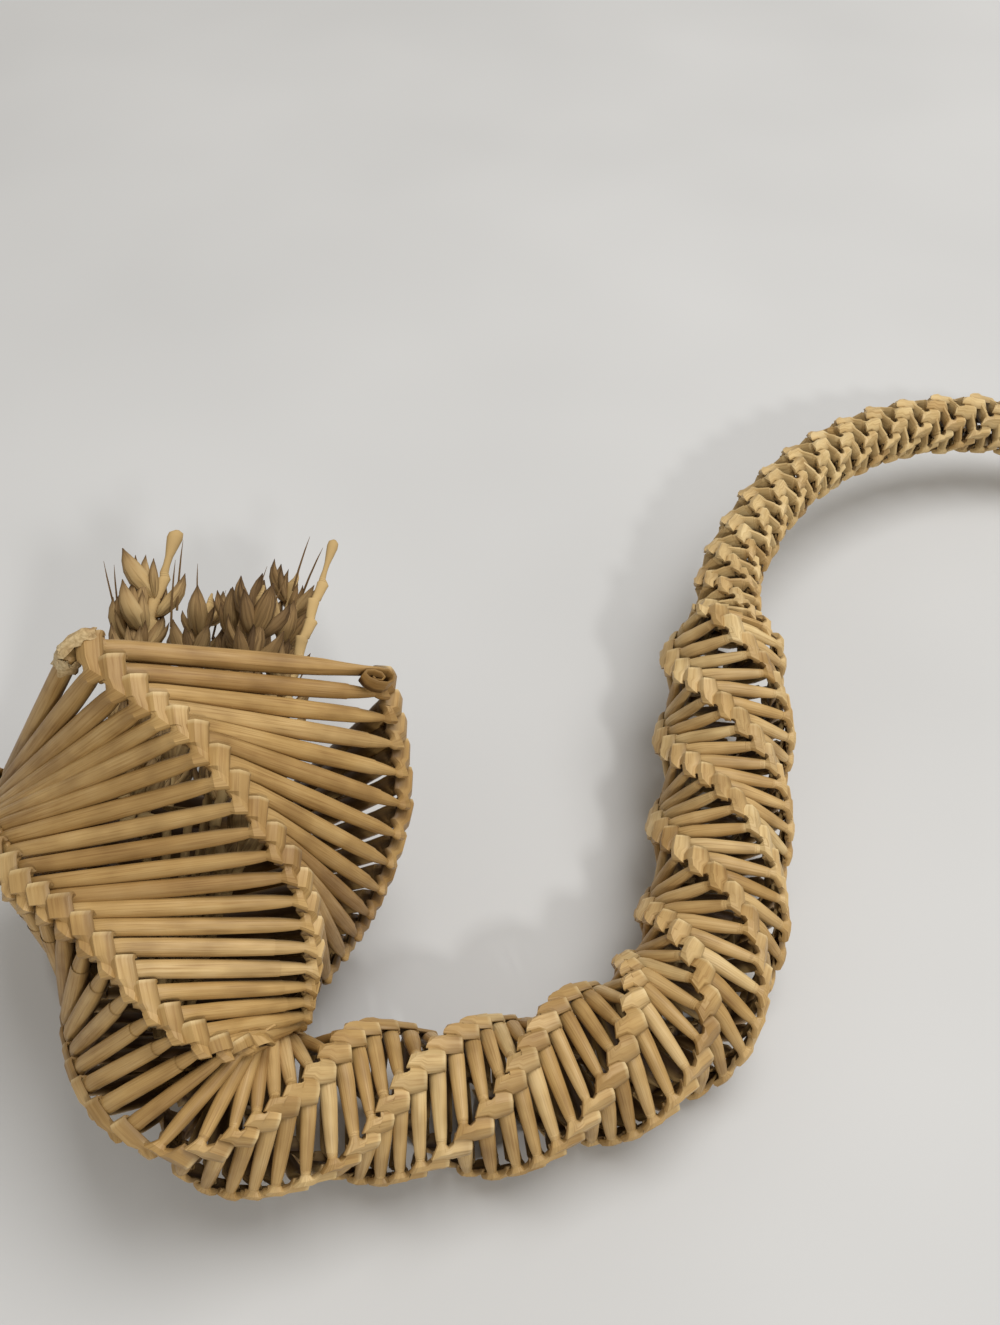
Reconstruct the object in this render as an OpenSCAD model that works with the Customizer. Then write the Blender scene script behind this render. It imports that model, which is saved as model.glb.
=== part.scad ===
// Corn dolly in the shape of a horn of plenty: a square spiral plait of five working straws,
// from a bound tail tip to a wide mouth that holds a bunch of wheat ears.
// It lies as it would on a table: Z is up, the mouth faces +Y and the tail reaches to +X.

/* [Straws] */
// diameter of the straws in the head
head_straw = 3.5; // [3.1:0.1:3.8]
// diameter of the straws in the tube
tube_straw = 2.8; // [2.5:0.1:3.1]
// diameter of the straws in the tail
tail_straw = 2.6; // [2.3:0.1:2.8]
// thickness of a straw pressed flat at a fold
flat_t = 0.8; // [0.6:0.05:1]

/* [Plait] */
// middle of the plait to its corners, at the mouth
mouth_r = 45; // [41:1:48]
// middle of the plait to its corners, along the tube
tube_r = 15.5; // [14.5:0.25:16.5]
// middle of the plait to its corners, along the tail
tail_r = 7.5; // [7:0.25:8]

/* [Ears] */
// diameter of an ear's stem
stem_d = 2; // [1.8:0.1:2.2]
// length of one spikelet
spikelet_len = 10; // [9:0.5:11]
// diameter of one spikelet
spikelet_d = 3.8; // [3.4:0.2:4.2]
// spikelets on one ear
spikelets = 8; // [6:2:10]

/* [Ties] */
// length of the binding on the tail's tip
binding_len = 9; // [6:1:12]
// thickness of a binding or wrap
wrap_t = 0.8; // [0.6:0.1:1]

/* [Hidden] */
strands = 5;
corners = 4;
$fn = 24;

// The spine: layers below the mouth, x, y, z, middle to corner, turn of the corners in degrees.
spine = [
  [-4, -69, -49, 51, mouth_r, -38],
  [0, -67, -65, 48, mouth_r, -18],
  [5, -64, -84, 42, 0.98 * mouth_r, 7],
  [11, -63, -108, 36, 0.81 * mouth_r, 43],
  [17, -61, -128, 32, 0.53 * mouth_r, 82],
  [22, -56, -138, 27, 0.4 * mouth_r, 124],
  [27, -44, -139, 22, 0.97 * tube_r, 169],
  [32, -26, -135, 16, 0.94 * tube_r, 244],
  [38, -2, -133, 14, 0.94 * tube_r, 341],
  [44, 18, -127, 15, 0.97 * tube_r, 421],
  [49, 33, -119, 15, tube_r, 502],
  [54, 43, -105, 15, tube_r, 586],
  [59, 48, -86, 15, tube_r, 669],
  [65, 52, -62, 16, tube_r, 752],
  [72, 55, -36, 22, tube_r, 855],
  [76, 56, -20, 26, 0.88 * tube_r, 918],
  [79, 58, -11, 27, tail_r, 978],
  [84, 61, 7, 27, tail_r, 1128],
  [93, 78, 38, 27, tail_r, 1398],
  [102, 102, 62, 25, tail_r, 1668],
  [110, 129, 76, 22, tail_r, 1908],
  [118, 160, 78, 19, tail_r, 2148],
  [126, 189, 68, 17, tail_r, 2388],
  [129, 199, 62, 17, tail_r, 2478]
];
tip_layer = spine[len(spine) - 2][0];
head_end = 21;
tail_start = 77;
neck_above = 3;
neck_below = 5;
creases = corners * tip_layer;

// Where one straw of a strand gives way to the next, counted in runs from the tail's tip.
tail_from = 0;
tube_from = corners * (tip_layer - tail_start);
head_from = corners * (tip_layer - head_end);
tail_straws = 2;
tube_straws = 4;
head_straws = 3;
function cuts(from, to, n) = [for (k = [0:n - 1]) round(from + (to - from) * k / n)];
cut_at = concat(
  cuts(tail_from, tube_from, tail_straws),
  cuts(tube_from, head_from, tube_straws),
  cuts(head_from, creases, head_straws),
  [creases]
);
lengths = len(cut_at) - 1;

letters = ["a", "b", "c", "d", "e"];
function straw_name(j, m) = m < tail_straws ? str("tail_straw_", letters[j], m + 1)
  : m < tail_straws + tube_straws ? str("tube_straw_", letters[j], m + 1 - tail_straws)
  : str("head_straw_", letters[j], m + 1 - tail_straws - tube_straws);

// Vectors.
function unit(v) = v / norm(v);
function across(v, d) = v - (v * d) * d;
function flatten(l) = [for (a = l) for (b = a) b];

// Reading the spine: a cubic through its points, straight lines between its other values.
function row_at(layer) = max([for (k = [0:len(spine) - 2]) if (k == 0 || spine[k][0] <= layer) k]);
function place(k) = [spine[k][1], spine[k][2], spine[k][3]];
function slope(k) = let (lo = max(k - 1, 0), hi = min(k + 1, len(spine) - 1))
  (place(hi) - place(lo)) / (spine[hi][0] - spine[lo][0]);
function along(layer, k) = (layer - spine[k][0]) / (spine[k + 1][0] - spine[k][0]);
function middle(layer) = let (k = row_at(layer), t = along(layer, k), h = spine[k + 1][0] - spine[k][0])
  (2 * t ^ 3 - 3 * t ^ 2 + 1) * place(k) + (t ^ 3 - 2 * t ^ 2 + t) * h * slope(k)
  + (3 * t ^ 2 - 2 * t ^ 3) * place(k + 1) + (t ^ 3 - t ^ 2) * h * slope(k + 1);
function value(layer, col) = let (k = row_at(layer), t = along(layer, k))
  (1 - t) * spine[k][col] + t * spine[k + 1][col];
function mouthward(layer) = unit(middle(layer - 0.5) - middle(layer + 0.5));
function blend(x, lo, hi) = max(0, min(1, (x - lo) / (hi - lo)));
function straw_at(layer) = layer > tail_start ? tail_straw
  : head_straw + (tube_straw - head_straw) * blend(layer, head_end - neck_above, head_end + neck_below);

// One crease: layer, straw diameter, place, mouthward, outward and round the plait.
function crease(i) = let (
    layer = tip_layer - i / corners,
    g = mouthward(layer),
    side = unit(cross(g, [0, 0, 1])),
    up = cross(side, g),
    turn = value(layer, 5) + 90 * (i + 1),
    out = cos(turn) * up + sin(turn) * side
  )
  [layer, straw_at(layer), middle(layer) + value(layer, 4) * out, g, out, cross(g, out)];
fold = [for (i = [0:creases + 2 * strands]) crease(i)];

// One run across a face: its end, its direction, and its two cross directions.
function run_end(i) = let (
    step = fold[i + strands][2] - fold[i + 1][2]
  )
  fold[i + strands][2] - across(step, fold[i + strands][5]);
function run(i) = let (
    finish = run_end(i),
    d = unit(finish - fold[i][2]),
    w = unit(across(fold[i][3], d))
  )
  [finish, d, w, cross(d, w)];
runs = [for (i = [0:creases + strands - 1]) run(i)];

// Rings of a straw. A straw is round on a face, pressed flat over a corner and folded at a crease.
round_in = 0.95;
band_half = 0.72;
band_lift = 0.3;
fold_rise = 0.5;
start_sink = 0.1;
turn_past = 0.25;
turn_lift = 0.15;
turn_rise = 0.5;
turn_half = 0.47;
function dia(i) = fold[i][1];
function ring(c, w, v, n) = [for (k = [0:n - 1]) c + cos(360 * k / n) * w + sin(360 * k / n) * v];
function round_ring(i, c, s, n) = ring(c, s * dia(i) / 2 * runs[i][2], s * dia(i) / 2 * runs[i][3], n);
function first_ring(i, s, n) =
  round_ring(i, fold[i][2] + dia(i) * (round_in * band_half * runs[i][1] - start_sink * runs[i][3]), s, n);
function last_ring(i, s, n) = round_ring(i, runs[i][0] - round_in * dia(i) * runs[i][1], s, n);
function middle_ring(i, shift, s, n) =
  round_ring(i, (fold[i][2] + runs[i][0]) / 2 + shift * runs[i][1], s, n);
function turn_ring(i, s, n) = let (f = fold[i + strands], d = dia(i))
  ring(
    runs[i][0] + d * (turn_past * f[5] + turn_lift * f[4]),
    s * d * (turn_rise * f[3] - turn_half * f[5]),
    s * (turn_lift * d + flat_t / 2) * f[4],
    n
  );
function crease_ring(i, s, n) = let (f = fold[i + strands], d = dia(i))
  ring(
    f[2] + d * (fold_rise * f[3] + band_lift * f[4]),
    -s * band_half * d * f[5],
    s * flat_t / 2 * f[3],
    n
  );
function over_corner(i, s, n) = n == tail_sides
  ? [turn_ring(i, s, n), crease_ring(i, s, n), middle_ring(i + strands, 0, -s, n)]
  : [last_ring(i, s, n), turn_ring(i, s, n), crease_ring(i, s, n), first_ring(i + strands, -s, n)];

// The tail's five straws run out side by side under the binding.
tip = middle(tip_layer);
tip_out = -mouthward(tip_layer);
bundle_r = 0.9 * tail_straw;
tip_stub = 4;
binding_gap = 2;
binding_slack = 0.1;
function bundle_ring(j, reach, n) = let (v = unit(across(runs[j][3], tip_out)))
  ring(
    tip + reach * tip_out + bundle_r * (cos(72 * j) * fold[0][4] + sin(72 * j) * fold[0][5]),
    tail_straw / 2 * cross(tip_out, v),
    tail_straw / 2 * v,
    n
  );

tail_sides = 4;
tube_sides = 5;
head_sides = 6;
joint_gap = 0.1;
function sides(m) = m < tail_straws ? tail_sides : m < tail_straws + tube_straws ? tube_sides : head_sides;
function first_run(j, m) = cut_at[m] + (j - cut_at[m] % strands + strands) % strands;
function last_run(j, m) = m == lengths - 1 ? first_run(j, m + 1) - strands : first_run(j, m + 1);
function sign(k) = k % 2 == 0 ? 1 : -1;
function rings(j, m) = let (n = sides(m), a = first_run(j, m), b = last_run(j, m), q = (b - a) / strands)
  concat(
    m == 0
      ? [bundle_ring(j, binding_gap + binding_len + tip_stub, n), bundle_ring(j, binding_gap, n),
        middle_ring(a, 0, 1, n)]
      : [middle_ring(a, joint_gap / 2, 1, n)],
    flatten([for (k = [0:q - 1]) over_corner(a + k * strands, sign(k), n)]),
    m == lengths - 1
      ? [last_ring(b, sign(q), n)]
      : n == tail_sides ? [] : [middle_ring(b, -joint_gap / 2, sign(q), n)]
  );
straws = [for (j = [0:strands - 1]) [for (m = [0:lengths - 1]) rings(j, m)]];

// The frame: the middle of the footprint is the origin, and the lowest straws are pressed flat on it.
press = 0.9;
all_points = flatten(flatten(flatten(straws)));
xs = [for (p = all_points) p[0]];
ys = [for (p = all_points) p[1]];
zs = [for (p = all_points) p[2]];
origin = [(min(xs) + max(xs)) / 2, (min(ys) + max(ys)) / 2, min(zs) + press];
function settle(p) = [p[0] - origin[0], p[1] - origin[1], max(0, p[2] - origin[2])];

straw_gold = [0.78, 0.64, 0.4];

// Two triangles between neighbouring rings.
// A tail straw's bands are split the other way, clear of their own fold.
tail_lead = 2;
tail_step = 3;
function is_band(m, c) = m < tail_straws && (c - (m == 0 ? tail_lead : 0)) % tail_step == 1;
function patch(a, b, n, other) = other
  ? [[a, a + n, b], [b, a + n, b + n]]
  : [[a, a + n, b + n], [a, b + n, b]];

module straw(j, m) {
  n = sides(m);
  r = straws[j][m];
  last = len(r) - 1;
  color(straw_gold)
    polyhedron(
      points = [for (c = r) for (p = c) settle(p)],
      faces = concat(
        [[for (k = [0:n - 1]) k]],
        [for (c = [0:last - 1]) for (k = [0:n - 1])
          each patch(c * n + k, c * n + (k + 1) % n, n, is_band(m, c))],
        [[for (k = [n - 1:-1:0]) last * n + k]]
      )
    );
}

// Places something along a line, its own Z from one point towards another.
module aim(from, to) {
  d = unit(to - from);
  translate(from)
    rotate([0, acos(d[2]), atan2(d[1], d[0])])
      children();
}

// The ears: their stems are tied in a bunch on the inside of the neck, and fan out through the mouth.
seat_gap = 0.3;
stem_pitch = stem_d + 0.2;
tie_len = 3;
tie_slack = 1.1;
tie_r = stem_pitch + stem_d / 2 + tie_slack;
bunch_layer = 16;
bunch_run = corners * (tip_layer - bunch_layer);
bunch_mid = (fold[bunch_run][2] + runs[bunch_run][0]) / 2 - origin
  - (dia(bunch_run) / 2 + tie_r + wrap_t + seat_gap) * runs[bunch_run][3];
mouth_mid = middle(0) - origin;
mouth_side = unit(cross(mouthward(0), [0, 0, 1]));
mouth_up = cross(mouth_side, mouthward(0));
// for each ear: sideways and upward place in the mouth, how far its tip stands out, and its bare tip
ears = [
  [-12, 6, 34, 2],
  [-1, 10, 44, 12],
  [4, -14, 44, 2],
  [12, -6, 38, 2],
  [18, 6, 32, 2],
  [25, -12, 46, 2],
  [34, 0, 44, 22]
];
// the bunch is one stem with the others round it, each on the side that its ear fans out to
middle_ear = 3;
bunch_angles = [180, 120, 240, 0, 60, 300, 0];
function ear_tip(k) = mouth_mid + ears[k][0] * mouth_side + ears[k][1] * mouth_up
  + ears[k][2] * mouthward(0);
bunch_out = unit(ear_tip(middle_ear) - bunch_mid);
bunch_side = unit(cross(bunch_out, [0, 0, 1]));
bunch_up = cross(bunch_side, bunch_out);
function bunch_spot(k) = k == middle_ear ? [0, 0, 0]
  : stem_pitch * (cos(bunch_angles[k]) * bunch_side + sin(bunch_angles[k]) * bunch_up);
stem_stub = 1;
function ear_foot(k) = bunch_mid + bunch_spot(k) - stem_stub * bunch_out;
ear_turn = 35;

module spikelet() {
  rotate_extrude()
    polygon([
      [0, 0],
      [0.3 * spikelet_d, 0.12 * spikelet_len],
      [0.5 * spikelet_d, 0.4 * spikelet_len],
      [0.36 * spikelet_d, 0.7 * spikelet_len],
      [0.1 * spikelet_d, 0.95 * spikelet_len],
      [0, spikelet_len]
    ]);
}

spikelet_step = 4.2;
spikelet_lean = 20;
spikelet_sink = 0.15;
module ear(k) {
  reach = norm(ear_tip(k) - ear_foot(k));
  color([0.62, 0.52, 0.36])
    aim(ear_foot(k), ear_tip(k)) {
      cylinder(d = stem_d, h = reach);
      for (s = [0:spikelets - 1])
        rotate([0, 0, ear_turn * k + 180 * (s % 2)])
          translate([stem_d / 2 + spikelet_sink, 0, reach - ears[k][3] - spikelet_step * (s + 2)])
            rotate([0, spikelet_lean, 0])
              spikelet();
    }
}

module ring_wrap(from, to, inner_r, h) {
  aim(from, to)
    rotate_extrude()
      translate([inner_r, 0])
        square([wrap_t, h]);
}

module ear_tie() {
  color([0.72, 0.58, 0.36])
    ring_wrap(bunch_mid, bunch_mid + bunch_out, tie_r, tie_len);
}

module tail_binding() {
  from = tip - origin + binding_gap * tip_out;
  color([0.7, 0.55, 0.33])
    ring_wrap(from, from + tip_out, bundle_r + tail_straw / 2 + binding_slack, binding_len);
}

// The wrap holds the cut end of the last straw but one.
wrap_len = 8;
wrap_slack = 0.2;
module mouth_wrap() {
  i = creases - 2;
  from = runs[i][0] - origin - (round_in * dia(i) + wrap_len) * runs[i][1];
  color([0.8, 0.68, 0.46])
    ring_wrap(from, from + runs[i][1], head_straw / 2 + wrap_slack, wrap_len);
}

for (m = [0:lengths - 1])
  for (j = [0:strands - 1])
    straw(j, m);
for (k = [0:len(ears) - 1])
  ear(k);
ear_tie();
tail_binding();
mouth_wrap();
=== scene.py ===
import math
from collections import namedtuple

import bpy
import numpy as np
from mathutils import Matrix, Vector


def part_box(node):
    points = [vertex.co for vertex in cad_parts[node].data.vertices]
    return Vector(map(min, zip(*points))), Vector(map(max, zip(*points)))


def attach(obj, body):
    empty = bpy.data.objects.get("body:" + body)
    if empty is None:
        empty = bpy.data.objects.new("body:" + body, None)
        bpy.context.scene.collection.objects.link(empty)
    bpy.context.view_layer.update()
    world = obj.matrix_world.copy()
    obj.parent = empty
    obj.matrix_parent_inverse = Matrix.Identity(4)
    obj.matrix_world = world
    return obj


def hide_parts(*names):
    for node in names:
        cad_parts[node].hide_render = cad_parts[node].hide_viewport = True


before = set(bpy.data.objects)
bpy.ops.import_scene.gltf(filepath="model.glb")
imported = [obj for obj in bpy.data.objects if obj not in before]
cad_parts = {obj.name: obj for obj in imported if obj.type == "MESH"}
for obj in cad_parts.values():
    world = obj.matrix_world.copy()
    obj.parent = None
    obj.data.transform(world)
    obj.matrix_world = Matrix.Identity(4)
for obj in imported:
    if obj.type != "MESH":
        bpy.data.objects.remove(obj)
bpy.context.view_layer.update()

bl_info = {
    "name": "Corn dolly",
    "version": (1, 0, 0),
    "blender": (4, 5, 0),
    "location": "3D View > Sidebar > Corn dolly",
    "description": "Dresses a horn-of-plenty corn dolly: plaited wheat straw, wheat ears and ties",
    "category": "Add Mesh",
}

MM = 0.001
UP = np.array([0.0, 0.0, 1.0])
NONE = np.zeros(3)
BODY = "root"
STRANDS = 5
CORNERS = 4
LETTERS = "abcde"

# Layers of the plait, counted from the mouth.
TIP_LAYER = 126
HEAD_END = 21
NECK_START = 9
TAIL_START = 77
BUNCH_LAYER = 16
CREASES = CORNERS * TIP_LAYER

# The plait's middle: layers below the mouth, x, y and z in mm, middle to corner as a share of the zone's
# usual size, and turn of the corners in degrees. The mouth's rows come first, then the tube's and the tail's.
SPINE = (
    (-4, -69, -49, 51, 1, -38),
    (0, -67, -65, 48, 1, -18),
    (5, -64, -84, 42, 0.98, 7),
    (11, -63, -108, 36, 0.81, 43),
    (17, -61, -128, 32, 0.53, 82),
    (22, -56, -138, 27, 0.4, 124),
    (27, -44, -139, 22, 0.97, 169),
    (32, -26, -135, 16, 0.94, 244),
    (38, -2, -133, 14, 0.94, 341),
    (44, 18, -127, 15, 0.97, 421),
    (49, 33, -119, 15, 1, 502),
    (54, 43, -105, 15, 1, 586),
    (59, 48, -86, 15, 1, 669),
    (65, 52, -62, 16, 1, 752),
    (72, 55, -36, 22, 1, 855),
    (76, 56, -20, 26, 0.88, 918),
    (79, 58, -11, 27, 1, 978),
    (84, 61, 7, 27, 1, 1128),
    (93, 78, 38, 27, 1, 1398),
    (102, 102, 62, 25, 1, 1668),
    (110, 129, 76, 22, 1, 1908),
    (118, 160, 78, 19, 1, 2148),
    (126, 189, 68, 17, 1, 2388),
    (129, 199, 62, 17, 1, 2478),
)
SPINE_ROWS = (6, 10, 8)

# Lengths of straw that follow one another in each strand, from the tail's tip to the mouth.
LENGTHS = {"tail": 2, "tube": 4, "head": 3}

# How stout the head's straws are from face to face, at these layers: faces 0 and 1 are the lower and back
# ones, face 2 is the left one, and face 3 looks up.
UPPER_FACE = 3
STOUT_LAYERS = (3, 9, 14, 17)
STOUT = ((1.22, 1.22, 1.22, 1), (1.32, 1.32, 1.32, 1), (1.04, 1, 1, 1), (1, 1, 1, 1))

# The straw's usual tone at these layers, from dark in the head to pale in the tail.
TONE_LAYERS = (12, 30, 60, 90)
TONES = (0.28, 0.5, 0.68, 1.0)

STRAW_SIDES = 16
UV_LENGTH = 100
BINDING_GAP = 2

# The ears: sideways and upward place in the mouth, how far the tip stands out, its bare tip and how far the
# ear bows to the right, in mm, and where its stem lies round the middle one, in degrees.
EARS = (
    (-12, 6, 34, 2, 0, 180),
    (-1, 10, 44, 12, -9, 120),
    (4, -14, 44, 2, -5, 240),
    (12, -6, 38, 2, 0, 0),
    (18, 6, 32, 2, 0, 60),
    (25, -12, 46, 2, 0, 300),
    (34, 0, 44, 33, 0, 0),
)
LEFT_EAR = 1
MIDDLE_EAR = 3
PALE_EARS = (0, 1, 6)
SPIKELET_STEP = 4.2


def linear(code):
    """The linear colour of an sRGB hex code."""
    parts = [int(code[k:k + 2], 16) / 255 for k in (1, 3, 5)]
    return tuple(c / 12.92 if c <= 0.04045 else ((c + 0.055) / 1.055) ** 2.4 for c in parts)


def length(name, text, size):
    return bpy.props.FloatProperty(name=name, description=text, default=size * MM, unit="LENGTH")


def colour(name, text, code):
    return bpy.props.FloatVectorProperty(name=name, description=text, default=linear(code), subtype="COLOR")


class DollySizes(bpy.types.PropertyGroup):
    """Sizes and colours of the dolly."""

    head_straw: length("Head straw", "Diameter of the straws in the head", 4.1)
    tube_straw: length("Tube straw", "Diameter of the straws in the tube", 3.25)
    tail_straw: length("Tail straw", "Diameter of the straws in the tail", 2.9)
    mouth_r: length("Mouth", "Middle of the plait to its corners at the mouth", 45)
    tube_r: length("Tube", "Middle of the plait to its corners along the tube", 15.5)
    tail_r: length("Tail", "Middle of the plait to its corners along the tail", 7.5)
    stem_d: length("Ear stem", "Diameter of an ear's stem", 2)
    glume_len: length("Glume", "Length of one glume", 10)
    binding_len: length("Binding", "Length of the binding on the tail's tip", 9)
    spikelets: bpy.props.IntProperty(
        name="Spikelets", description="Spikelets on one ear", default=11, min=2, max=12)
    dark_straw: colour("Dark straw", "Colour of the darkest straw, in the head", "#AB8C5C")
    pale_straw: colour("Pale straw", "Colour of the palest straw, in the tail", "#DCC698")
    # The inner shade colour is painted shade, with a little dust, on the straws' side that faces the plait's
    # middle.
    inner_shade_and_dust: colour("Inner shade and dust", "Colour of the straw's side that faces the inside", "#3C2510")
    chaff: colour("Chaff", "Colour of a glume's foot", "#D6C298")
    floor: colour("Floor", "Colour of the floor", "#C7C7C5")
    seed: bpy.props.IntProperty(
        name="Seed", description="Fixes the small differences from straw to straw", default=7)


def unit(v):
    return v / np.linalg.norm(v)


def across(v, d):
    """What is left of v without its share along d."""
    return v - np.dot(v, d) * d


# A crease: its layer, straw diameter and place, and its mouthward, outward and round directions.
Fold = namedtuple("Fold", "layer size place g out tau")
# A straight run of straw: its end, its own direction, and its in-face and outward directions.
Run = namedtuple("Run", "end d w v")
# A ring of a tube: middle, half width and height, sag of its edges, squareness, the way its rubbed pale and
# painted-highlight edge faces.
Ring = namedtuple("Ring", "middle wide high sag square worn", defaults=(NONE, 0, NONE))

# How a band at a corner is shaped, in straw diameters: how far its mitre hangs down and its fold stands up,
# half its width in the middle and at the fold, how far its edges bend back round the corner, how far it is
# turned back to the face that its straw comes from, the width and depth of the runs beside it, and how far
# they lie inwards.
Band = namedtuple("Band", "drop rise belly lip arch early slim deep sunk", defaults=(0, 1, 1, 0))
HEAD_BAND = Band(0.35, 0.6, 0.62, 0.7, 0.3)
NECK_BAND = Band(0.45, 0.6, 0.8, 0.82, 0.45)
EDGE_BAND = Band(0.2, 0.6, 0.9, 0.8, 0.4, early=1.5)
TUBE_BAND = Band(0.65, 0.45, 0.92, 0.72, 0.45)
# In the tail the runs stand on edge.
TAIL_BAND = Band(0.8, 0.45, 0.92, 0.8, 0.55, slim=0.6, deep=1.8, sunk=0.4)
EARLY_SHIFT = 0.4
BAND_SQUARE = 0.6
FOLD_SQUARE = 0.75

# Rings at the end of a run, in straw diameters: place before the mitre, half width and half height, each with
# what a full pinch takes from it.
RUN_END = ((1.9, 0.5, 0.1, 0.49, 0.1), (1.1, 0.5, 0.17, 0.47, 0.15),
           (0.5, 0.49, 0.24, 0.45, 0.2), (0.14, 0.46, 0.28, 0.42, 0.24))
# Rings along a long run: share of the way, radius and what a full pinch takes from it.
RUN_BODY = ((0.35, 0.52, 0), (0.58, 0.515, 0.01), (0.74, 0.505, 0.04), (0.84, 0.5, 0.08))
LONG_RUN = 7
# Rings at the start of the next run: place after the fold, half width, half height and depth.
RUN_START = ((0.7, 0.54, 0.36, 0.1), (1.15, 0.53, 0.45, 0.05), (1.7, 0.51, 0.49, 0))
# Rings of a closed round end: place before the run's end in diameters, and share of the radius.
ROUND_END = ((2.4, 1), (1.2, 0.98), (0.3, 0.94), (0, 0.8), (-0.12, 0.5))


def level(g):
    """The sideways and upward directions that go with g."""
    side = unit(np.cross(g, UP))
    return side, np.cross(side, g)


def swing(turn, a, b):
    """The direction at an angle from a towards b."""
    return math.cos(turn) * a + math.sin(turn) * b


class Plait:
    """The square spiral that the straws follow, in millimetres, placed in the part's frame."""

    def __init__(self, sizes):
        straws = (sizes.head_straw, sizes.tube_straw, sizes.tail_straw)
        self.head, self.tube, self.tail = (x / MM for x in straws)
        self.binding_len = sizes.binding_len / MM
        self.spine = np.array(SPINE, float)
        radii = (sizes.mouth_r, sizes.tube_r, sizes.tail_r)
        self.spine[:, 4] *= np.repeat([x / MM for x in radii], SPINE_ROWS)
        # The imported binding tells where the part's frame lies.
        self.shift = NONE
        self.tip = self.middle(TIP_LAYER)
        self.tip_out = -self.mouthward(TIP_LAYER)
        low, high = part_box("tail_binding")
        binding = np.array((low + high) / 2) / MM
        self.shift = self.tip + (BINDING_GAP + self.binding_len / 2) * self.tip_out - binding
        self.tip = self.middle(TIP_LAYER)
        self.fold = [self.crease(i) for i in range(CREASES + 2 * STRANDS + 1)]
        self.runs = [self.run(i) for i in range(CREASES + STRANDS)]
        self.vary(sizes.seed)

    def row(self, layer):
        k = int(np.searchsorted(self.spine[:, 0], layer, side="right")) - 1
        return min(max(k, 0), len(self.spine) - 2)

    def slope(self, k):
        lo, hi = max(k - 1, 0), min(k + 1, len(self.spine) - 1)
        return (self.spine[hi, 1:4] - self.spine[lo, 1:4]) / (self.spine[hi, 0] - self.spine[lo, 0])

    def middle(self, layer):
        """The middle of the plait at a layer: a cubic through the spine's points."""
        k = self.row(layer)
        h = self.spine[k + 1, 0] - self.spine[k, 0]
        t = (layer - self.spine[k, 0]) / h
        here, there = self.spine[k, 1:4], self.spine[k + 1, 1:4]
        return ((2 * t ** 3 - 3 * t ** 2 + 1) * here + (t ** 3 - 2 * t ** 2 + t) * h * self.slope(k)
                + (3 * t ** 2 - 2 * t ** 3) * there + (t ** 3 - t ** 2) * h * self.slope(k + 1)) - self.shift

    def value(self, layer, column):
        k = self.row(layer)
        t = (layer - self.spine[k, 0]) / (self.spine[k + 1, 0] - self.spine[k, 0])
        return (1 - t) * self.spine[k, column] + t * self.spine[k + 1, column]

    def mouthward(self, layer):
        return unit(self.middle(layer - 0.5) - self.middle(layer + 0.5))

    def straw_at(self, layer):
        if layer > TAIL_START:
            return self.tail
        return np.interp(layer, (3, 9, 17, 24, 46, 54), (
            self.head, 0.88 * self.head, 0.8 * self.head, self.tube, self.tube, 1.06 * self.tube))

    def crease(self, i):
        """The crease that is i-th from the tail's tip."""
        layer = TIP_LAYER - i / CORNERS
        g = self.mouthward(layer)
        side, up = level(g)
        out = swing(math.radians(self.value(layer, 5) + 90 * (i + 1)), up, side)
        place = self.middle(layer) + self.value(layer, 4) * out
        return Fold(layer, self.straw_at(layer), place, g, out, np.cross(g, out))

    def run(self, i):
        """The run that starts at crease i."""
        over = self.fold[i + STRANDS]
        end = over.place - across(over.place - self.fold[i + 1].place, over.tau)
        d = unit(end - self.fold[i].place)
        w = unit(across(self.fold[i].g, d))
        return Run(end, d, w, np.cross(d, w))

    def halfway(self, i):
        return (self.fold[i].place + self.runs[i].end) / 2

    def vary(self, seed):
        """Sets each run's own thickness and tone."""
        chance = np.random.default_rng(seed)
        layers = TIP_LAYER - np.arange(CREASES + 2 * STRANDS) / CORNERS
        share = 1 + 0.035 * np.clip(chance.standard_normal(len(layers)), -1.5, 1.5)
        for face, stout in enumerate(STOUT):
            share[face::CORNERS] *= np.interp(layers[face::CORNERS], STOUT_LAYERS, stout)
        self.thick = [x * fold.size for x, fold in zip(share, self.fold)]
        usual = np.interp(layers, TONE_LAYERS, TONES)
        self.tone = np.clip(usual + 0.2 * chance.standard_normal(len(layers)), 0, 1)


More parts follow.
